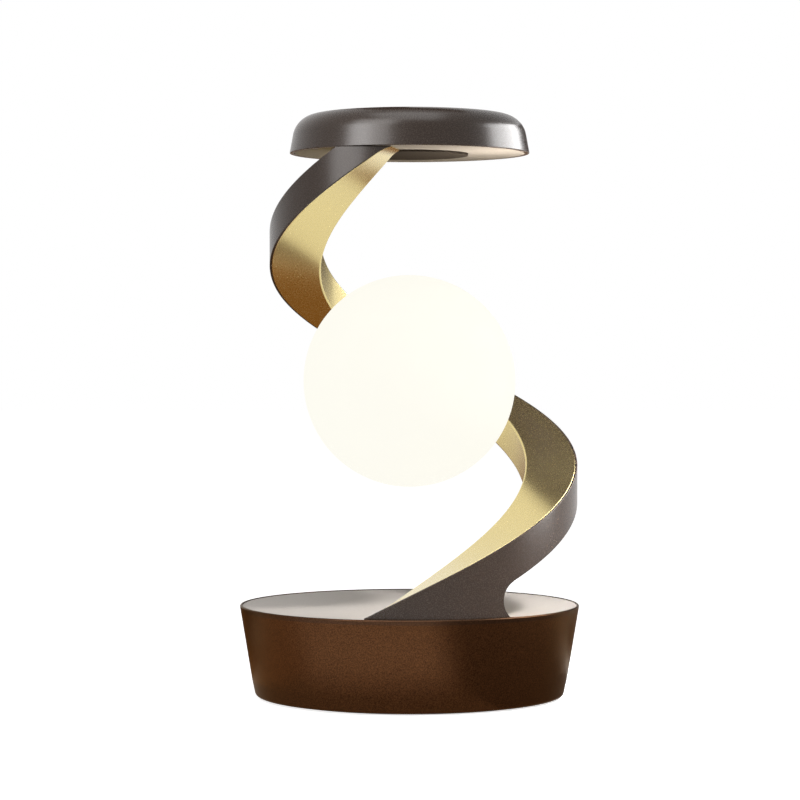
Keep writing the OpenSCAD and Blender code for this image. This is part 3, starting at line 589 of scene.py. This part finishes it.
ribbon_draw = (hold_r - end_r) / (turn_square(draw_angle) - turn_square(hold_angle))
ribbon_max_r = hold_r + ribbon_draw * turn_square(hold_angle)


def ribbon_r(a):
    """Radius of the ribbon's outer face at an angle round the lamp."""
    return ribbon_max_r - ribbon_draw * turn_square(a)


def ramp_top(a):
    """Height of the ribbon's upper edge before the cap cuts it off."""
    s = (a - tip_angle) / ribbon_turn
    return plate_z + (cap_z - plate_z) * (s + s * (1 - s) * (climb_lead - climb_ease * s))


def ramp_edge(a):
    """Height of the ribbon's lower edge as it climbs, before the base and the cap end it."""
    return ramp_top(a) - foot_h - (head_h - foot_h) * (a - tip_angle) / ribbon_turn


def angle_where(rises, low, high):
    """The angle at which a rising measure passes zero."""
    for _ in range(50):
        middle = (low + high) / 2
        low, high = (middle, high) if rises(middle) < 0 else (low, middle)
    return low


meet_angle = angle_where(lambda a: ramp_edge(a) - cap_z, head_angle, head_angle + 90)
meet_rise = ramp_edge(meet_angle + 0.5) - ramp_edge(meet_angle - 0.5)


def ramp_low(a):
    """Height of the ribbon's lower edge, eased into the cap at its end."""
    past = max(0, a - meet_angle + head_ease)
    return ramp_edge(a) - meet_rise * past ** 2 / (4 * head_ease)


notch_arc = ribbon_r(notch_angle) * math.pi / 180
notch_slope = (ramp_low(notch_angle + 0.5) - ramp_low(notch_angle - 0.5)) / notch_arc
notch_z = ramp_low(notch_angle) - notch_r * math.sqrt(1 + notch_slope ** 2)
web_angle = notch_angle - notch_r * math.sin(math.atan(notch_slope)) / notch_arc
start_angle = angle_where(lambda a: ramp_top(a) - plate_z - tip_h, tip_angle, web_angle)
end_angle = angle_where(lambda a: ramp_low(a) - cap_z + tip_h, search_angle, meet_angle + head_ease)
hollow_start = angle_where(lambda a: ramp_top(a) - plate_z - least_hollow, tip_angle, web_angle)
hollow_end = angle_where(lambda a: ramp_low(a) - cap_z + least_hollow, search_angle, end_angle)


def stretch(first, last, step):
    """Angles from first to last, evenly spread."""
    count = math.ceil((last - first) / step)
    return [first + (last - first) * k / count for k in range(count + 1)]


def ribbon_angles(first, last, step=sweep_step):
    """The angles of the ribbon's sections, with a sudden step behind its foot."""
    return stretch(first, web_angle, step) + stretch(web_angle + hair, head_angle, step) + stretch(
        head_angle + hair, last, step
    )


def swept(name, angles, section):
    """A closed piece through upright sections; section(r, low, high) gives its (radius, height) points."""
    form = bmesh.new()
    loops = []
    for a in angles:
        low = plate_z if a <= web_angle else max(plate_z, ramp_low(a))
        high = min(cap_z, ramp_top(a))
        t = math.radians(a)
        points = section(ribbon_r(a), low, high)
        loops.append([form.verts.new((r * math.sin(t), -r * math.cos(t), z)) for r, z in points])
    for near, far in zip(loops, loops[1:]):
        skin(form, near, far)
    form.faces.new(loops[0])
    form.faces.new(loops[-1])
    return plain_piece(name, form)


def radial_bar(name, r, sides=160):
    """A round bar from the lamp's axis out through the hollow under the ribbon's foot."""
    bar_ends = (20 * mm, 110 * mm)
    off_the_seam = 0.37
    form = bmesh.new()
    t = math.radians(notch_angle)
    out = Vector((math.sin(t), -math.cos(t), 0))
    across = Vector((math.cos(t), math.sin(t), 0))
    loops = []
    for reach in bar_ends:
        spokes = [math.tau * (k + off_the_seam) / sides for k in range(sides)]
        centre = out * reach + Vector((0, 0, notch_z))
        loops.append([
            form.verts.new(centre + across * (r * math.cos(b)) + Vector((0, 0, r * math.sin(b))))
            for b in spokes
        ])
    skin(form, loops[0], loops[1])
    form.faces.new(loops[0])
    form.faces.new(loops[1])
    return plain_piece(name, form)


def cut_away(piece, tool):
    """Takes a tool's shape out of a piece for good."""
    bite = piece.modifiers.new("cut", "BOOLEAN")
    bite.operation = "DIFFERENCE"
    bite.solver = "EXACT"
    bite.object = tool
    cut_mesh = bpy.data.meshes.new_from_object(piece.evaluated_get(bpy.context.evaluated_depsgraph_get()))
    piece.modifiers.clear()
    piece.data = cut_mesh
    bpy.data.objects.remove(tool)


def channel_section(r, low, high):
    """Outer form of the channel, with its inner edges eased more than those along the seam."""
    inner = r - ribbon_w
    outer = r - strip_t - strip_gap
    ease = min(channel_ease, (high - low) * thin_ease)
    seam = min(seam_ease, (high - low) * thin_seam)
    corners = [(inner, low, ease), (outer, low, seam), (outer, high, seam), (inner, high, ease)]
    return eased(corners, ease_steps)


def hollow_section(r, low, high):
    """The hollow that opens toward the strip and carries the lead."""
    inner = r - ribbon_w + channel_wall
    outer = r - strip_t - strip_gap + hollow_over
    return [
        (inner, low + channel_wall), (outer, low + channel_wall),
        (outer, high - channel_wall), (inner, high - channel_wall),
    ]


ribbon_channel = swept("ribbon_gold_side", ribbon_angles(start_angle, end_angle), channel_section)
hollow = swept("hollow", ribbon_angles(hollow_start, hollow_end, hollow_step), hollow_section)
cut_away(hollow, radial_bar("web round the hollow", notch_r + channel_wall))
cut_away(ribbon_channel, hollow)
cut_away(ribbon_channel, radial_bar("hollow under the foot", notch_r))
smoothed(ribbon_channel)
satin_gold = finish(
    "satin gold anodise", shade(221, 204, 148), shade(229, 212, 156), 2000, 0.27, 0.02, 0.03, 0.02 * mm,
    Metallic=1.0,
)
seat(ribbon_channel, satin_gold, "gold", "ribbon_channel")

# Ribbon strip
# A dark strip closes the channel from outside over its whole length. It is rolled aluminium, bent with
# the channel and clipped over it, with both outer edges eased and a satin dark paint.
strip_ease = 0.4 * mm
thin_strip_ease = 0.3


def strip_section(r, low, high):
    """Section of the strip, eased most along its outer edges."""
    ease = min(strip_ease, (high - low) * thin_strip_ease)
    seam = min(seam_ease, (high - low) * thin_seam)
    corners = [(r - strip_t, low, seam), (r, low, ease), (r, high, ease), (r - strip_t, high, seam)]
    return eased(corners, ease_steps)


ribbon_strip = swept("ribbon_dark_side", ribbon_angles(start_angle, end_angle), strip_section)
cut_away(ribbon_strip, radial_bar("hollow under the foot", notch_r))
smoothed(ribbon_strip)
dark_paint = finish(
    "satin dark paint", shade(46, 34, 26), shade(62, 48, 38), 2400, 0.27, 0.04, 0.15, 0.05 * mm,
    Specular_IOR_Level=0.32,
)
seat(ribbon_strip, dark_paint, "dark_metal", "ribbon_strip")

# Blocks, screws and lead inside the ribbon
# Bright steel blocks in the ribbon's foot and head take the screws that hold it to the base and the cap.
# A white lead climbs inside the channel from the board to the light.
bright_block = finish(
    "milled steel", shade(160, 162, 165), shade(196, 198, 201), 700, 0.34, 0.1, 0.15, 0.05 * mm, Metallic=1.0
)
white_sleeve = finish(
    "white lead sleeve", shade(214, 212, 205), shade(236, 234, 228), 1200, 0.42, 0.06, 0.15, 0.05 * mm
)
dress(bright_block, "foot_block", "head_block", "lamp_stem", "stem_nut")
dress(zinc_steel, "foot_screws", "head_screws")
dress(white_sleeve, "lamp_lead")

# Globe
# A blown globe of opal glass glows evenly when the lamp is lit. It is one thin shell with a round neck
# at the back, ground off flat, through which the light and its stem go in.
globe_r = 50 * mm
globe_wall = 1.8 * mm
globe_steps = 96
globe_sides = 192
neck_r = 13 * mm
globe_low, globe_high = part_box("globe")
globe_z = (globe_low.z + globe_high.z) / 2
opal_glass = finish(
    "lit opal glass", shade(60, 58, 52), shade(66, 64, 58), 60, 0.3, 0.02, 0.02, 0.05 * mm,
    Emission_Color=(1.0, 0.985, 0.9, 1), Emission_Strength=0.96, Specular_IOR_Level=0.0,
)
globe_outline = []
for radius, order in ((globe_r, 1), (globe_r - globe_wall, -1)):
    neck_turn = math.asin(neck_r / radius)
    arc = [neck_turn + (math.pi - neck_turn) * k / globe_steps for k in range(globe_steps)]
    half = [(radius * math.sin(b), radius * math.cos(b)) for b in arc] + [(0, -radius)]
    globe_outline += half[::order]
globe = turned("opal_globe", globe_outline, globe_sides)
hold = math.radians(hold_angle)
hold_line = Vector((math.sin(hold), -math.cos(hold), 0))
on_hold_line = Matrix.Translation((0, 0, globe_z)) @ hold_line.to_track_quat("Z", "Y").to_matrix().to_4x4()
globe.data.transform(on_hold_line)
seat(globe, opal_glass, "opal", "globe")

# Collar, seal, stem and light
# A pale collar plugs the globe's neck and a rubber seal keeps dust out. A hollow threaded stem goes through
# both into a finned heat sink, which carries a round board with eight light chips.
collar_cream = finish(
    "cream collar", shade(224, 218, 203), shade(238, 233, 220), 1400, 0.42, 0.06, 0.2, 0.05 * mm
)
cast_sink = finish(
    "cast aluminium", shade(176, 178, 182), shade(210, 212, 215), 900, 0.42, 0.1, 0.3, 0.1 * mm, Metallic=1.0
)
board_white = finish(
    "white board mask", shade(228, 228, 226), shade(242, 242, 240), 300, 0.35, 0.06, 0.1, 0.05 * mm
)
chip_yellow = finish(
    "phosphor yellow", shade(244, 222, 150), shade(255, 236, 176), 3000, 0.5, 0.08, 0.3, 0.05 * mm
)
dress(collar_cream, "globe_collar")
dress(black_rubber, "collar_seal")
dress(cast_sink, "heat_sink")
dress(board_white, "light_board")
dress(chip_yellow, "light_chips")

# Cap shell
# The round cap is spun from aluminium sheet with a wide rounded edge and a slight draft on its side.
# It has the same satin dark paint as the strip, and a crisp lower edge.
cap_low, cap_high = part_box("cap_shell")
cap_r = cap_high.x
cap_draft = 3.3 * mm
cap_fillet = 11.5 * mm
cap_wall = 2 * mm
cap_edge = 0.25 * mm
cap_steps = 14
cap_inner_z = cap_high.z - cap_wall
cap_outline = eased([
    (0, cap_high.z, 0), (cap_r - cap_draft, cap_high.z, cap_fillet), (cap_r, cap_low.z, cap_edge),
    (cap_r - cap_wall, cap_low.z, cap_edge),
    (cap_r - cap_draft - cap_wall, cap_inner_z, cap_fillet - cap_wall), (0, cap_inner_z, 0),
], cap_steps)
cap = turned("cap_dome", cap_outline)
seat(cap, dark_paint, "dark_metal", "cap_shell")
dress(zinc_steel, "cap_screws")

# Under plate
# A pale satin disc closes the cap from below and sends the globe's light back down.
# It is turned to fit the cap's wall and has a shallow seat for the hub cover.
under_low, under_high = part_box("under_plate")
hub_low, hub_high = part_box("hub_cover")
hub_r = hub_high.x
hub_t = 2.2 * mm
hub_gap = 0.1 * mm
hub_top = hub_low.z + hub_t
under_seat_ease = 0.15 * mm
under_edge_ease = 0.2 * mm
under_taper = (under_high.z - under_low.z) * cap_draft / (cap_high.z - cap_low.z)
under_pale = finish(
    "satin pale under plate", shade(134, 124, 112), shade(146, 136, 124), 1400, 0.35, 0.04, 0.06, 0.04 * mm,
    Specular_IOR_Level=0.0,
)
under_plate = turned("under_disc", eased([
    (0, hub_top, 0), (hub_r + hub_gap, hub_top, 0),
    (hub_r + hub_gap, under_low.z, under_seat_ease), (under_high.x, under_low.z, under_edge_ease),
    (under_high.x - under_taper, under_high.z, 0), (0, under_high.z, 0),
]))
seat(under_plate, under_pale, "under_pale", "under_plate")

# Hub cover
# A thin dark disc, pressed by its pin into the middle of the under plate, hides the cap's screws.
# It stands a little proud of the plate, with its edge eased and a dull face.
hub_pin_r = 3 * mm
hub_ease = 0.3 * mm
hub_dark = finish(
    "dull dark hub", shade(53, 46, 39), shade(68, 60, 52), 2000, 0.55, 0.06, 0.2, 0.05 * mm,
    Specular_IOR_Level=0.0,
)
hub_cover = turned("hub_disc", eased([
    (0, hub_low.z, 0), (hub_r, hub_low.z, hub_ease), (hub_r, hub_top, 0),
    (hub_pin_r, hub_top, 0), (hub_pin_r, hub_high.z, 0), (0, hub_high.z, 0),
]))
seat(hub_cover, hub_dark, "hub_dark", "hub_cover")

# Studio
# A wide white floor under an even white room. Boxes overhead and at the front left light everything, and
# the others only glossy or only matt surfaces. Tinted cards give the gold and the paint something to mirror;
# two darker ones on the floor by the base are painted shade that the base mirrors. The globe lights what is
# near it by its own glow.
scene = bpy.context.scene
scene.view_settings.view_transform = "Standard"


def seen_rays(tree):
    """One where the camera, a reflection or a clear piece looks, and zero for light on other surfaces."""
    path = tree.nodes.new("ShaderNodeLightPath")
    both = tree.nodes.new("ShaderNodeMath")
    both.operation = "MAXIMUM"
    tree.links.new(path.outputs["Is Camera Ray"], both.inputs[0])
    tree.links.new(path.outputs["Is Glossy Ray"], both.inputs[1])
    every = tree.nodes.new("ShaderNodeMath")
    every.operation = "MAXIMUM"
    tree.links.new(both.outputs[0], every.inputs[0])
    tree.links.new(path.outputs["Is Transmission Ray"], every.inputs[1])
    return every.outputs[0]


room_light = 0.28
room = bpy.data.worlds.new("white room")
room.use_nodes = True
scene.world = room
glow = room.node_tree.nodes["Background"]
glow.inputs["Color"].default_value = (1, 1, 1, 1)
level = room.node_tree.nodes.new("ShaderNodeMapRange")
level.inputs["To Min"].default_value = room_light
level.inputs["To Max"].default_value = 1
room.node_tree.links.new(seen_rays(room.node_tree), level.inputs["Value"])
room.node_tree.links.new(level.outputs["Result"], glow.inputs["Strength"])

floor_half = 6.0
floor_glow = 0.8
form = bmesh.new()
bmesh.ops.create_grid(form, x_segments=4, y_segments=4, size=floor_half)
floor = plain_piece("studio_floor", form)
floor_white = bpy.data.materials.new("white floor")
floor_white.use_nodes = True
tree = floor_white.node_tree
paper = tree.nodes["Principled BSDF"]
paper.inputs["Base Color"].default_value = (0.8, 0.8, 0.8, 1)
paper.inputs["Roughness"].default_value = 1
paper.inputs["Specular IOR Level"].default_value = 0
paper.inputs["Emission Color"].default_value = (1, 1, 1, 1)
lift = tree.nodes.new("ShaderNodeMapRange")
lift.inputs["To Min"].default_value = 0
lift.inputs["To Max"].default_value = floor_glow
tree.links.new(seen_rays(tree), lift.inputs["Value"])
tree.links.new(lift.outputs["Result"], paper.inputs["Emission Strength"])
floor.data.materials.append(floor_white)


def soft_box(name, place, aim, width, height, power, spread=180, on_matt=True, on_gloss=True):
    """A flat studio lamp that faces a point, its light kept inside a spread in degrees."""
    lamp = bpy.data.lights.new(name, "AREA")
    lamp.shape = "RECTANGLE"
    lamp.size = width
    lamp.size_y = height
    lamp.energy = power
    lamp.spread = math.radians(spread)
    stand = bpy.data.objects.new(name, lamp)
    stand.location = place
    stand.rotation_euler = (Vector(aim) - Vector(place)).to_track_quat("-Z", "Y").to_euler()
    stand.visible_camera = False
    stand.visible_diffuse = on_matt
    stand.visible_glossy = on_gloss
    scene.collection.objects.link(stand)


soft_box("right box", (0.32, 0.095, 0.36), (0, 0, 0.2), 0.30, 0.16, 2.0, on_matt=False)
soft_box("low right box", (0.25, -0.03, 0.13), (0, 0, 0.13), 0.12, 0.1, 0.45, on_matt=False)
soft_box("front left box", (-0.60, -0.50, 0.60), (0, 0, 0.25), 0.34, 0.28, 2.0)
soft_box("gloss box", (-0.51, -0.61, 0.61), (0, 0, 0.2), 0.57, 0.92, 11, on_matt=False)
soft_box("plate box", (0.28, -0.15, 0.45), (0.07, -0.02, 0.045), 0.08, 0.08, 0.28, 40, on_gloss=False)
soft_box("under box", (0.05, -0.02, 0.205), (0.042, -0.02, 0.2575), 0.03, 0.03, 0.04, 120, on_gloss=False)
soft_box("overhead box", (0.0, -0.25, 1.1), (0, 0, 0.1), 0.7, 0.7, 4.4)


def as_card(card, tint, casts=False):
    """Gives a stage piece one tint and hides it from all but glossy surfaces and, if asked, the lamps."""
    board = bpy.data.materials.new(card.name)
    board.use_nodes = True
    face = board.node_tree.nodes["Principled BSDF"]
    face.inputs["Base Color"].default_value = (0, 0, 0, 1)
    face.inputs["Specular IOR Level"].default_value = 0
    face.inputs["Emission Color"].default_value = tint
    face.inputs["Emission Strength"].default_value = 1
    card.data.materials.append(board)
    card.visible_camera = False
    card.visible_diffuse = False
    card.visible_shadow = casts
    card.visible_transmission = False


def reflection_card(name, place, aim, width, height, tint, is_round=False):
    """A tinted card that only glossy surfaces mirror, turned to face a point."""
    form = bmesh.new()
    if is_round:
        bmesh.ops.create_circle(form, cap_ends=True, segments=96, radius=0.5)
    else:
        bmesh.ops.create_grid(form, x_segments=2, y_segments=2, size=0.5)
    card = plain_piece(name, form)
    card.scale = (width, height, 1)
    card.location = place
    card.rotation_euler = (Vector(aim) - Vector(place)).to_track_quat("Z", "Y").to_euler()
    as_card(card, tint)


reflection_card("high card", (0.49, 0.56, 0.585), (0.38, 0.02, 0.125), 1.2, 1.0, shade(46, 19, 22))
reflection_card("low card", (-0.7, 1.575, 0.002), (-0.7, 1.575, 1), 1.8, 3.0, shade(130, 88, 42))
reflection_card("left card", (-0.115, 0.05, 0.003), (-0.115, 0.05, 1), 0.06, 0.05, shade(170, 120, 70))
reflection_card("warm card", (-0.2, -0.025, 0.002), (-0.2, -0.025, 1), 0.23, 0.1, shade(255, 226, 196))
# Painted shade: a darker sheet on the floor right of the base, which the base's right side mirrors as shade
# on the floor there.
reflection_card("right floor shade card", (0.14, -0.09, 0.002), (0.14, -0.09, 1), 0.2, 0.26, shade(165, 150, 138))
# Painted shadow: a darker disc on the floor under the base, which the base's lower part mirrors as the shade
# round its foot.
reflection_card("foot shadow card", (0, 0, 0.001), (0, 0, 1), 0.216, 0.216, shade(206, 192, 178), is_round=True)

# A curved white card beside the cap keeps the right box out of the cap's flat top.
flag_r = 0.062
flag_low = 0.276
flag_high = 0.36
flag_first = 30
flag_last = 180
flag_step = 5
flag_turns = [math.radians(a) for a in range(flag_first, flag_last + 1, flag_step)]
flag_line = [(flag_r * math.sin(t), -flag_r * math.cos(t)) for t in flag_turns]
form = bmesh.new()
foot = [form.verts.new((x, y, flag_low)) for x, y in flag_line]
head = [form.verts.new((x, y, flag_high)) for x, y in flag_line]
for k in range(len(flag_line) - 1):
    form.faces.new((foot[k], foot[k + 1], head[k + 1], head[k]))
as_card(plain_piece("cap flag", form), shade(255, 255, 255), casts=True)

# Camera
# It stands in front of the lamp at about the height of the globe and looks a little down.
look_down = 1.047
look_left = 0.203
lens = bpy.data.cameras.new("camera")
lens.lens = 120.6
lens.sensor_width = 36
camera = bpy.data.objects.new("camera", lens)
camera.location = (0, -1.266, 0.163)
camera.rotation_euler = (math.radians(90 - look_down), 0, math.radians(look_left))
scene.collection.objects.link(camera)
scene.camera = camera
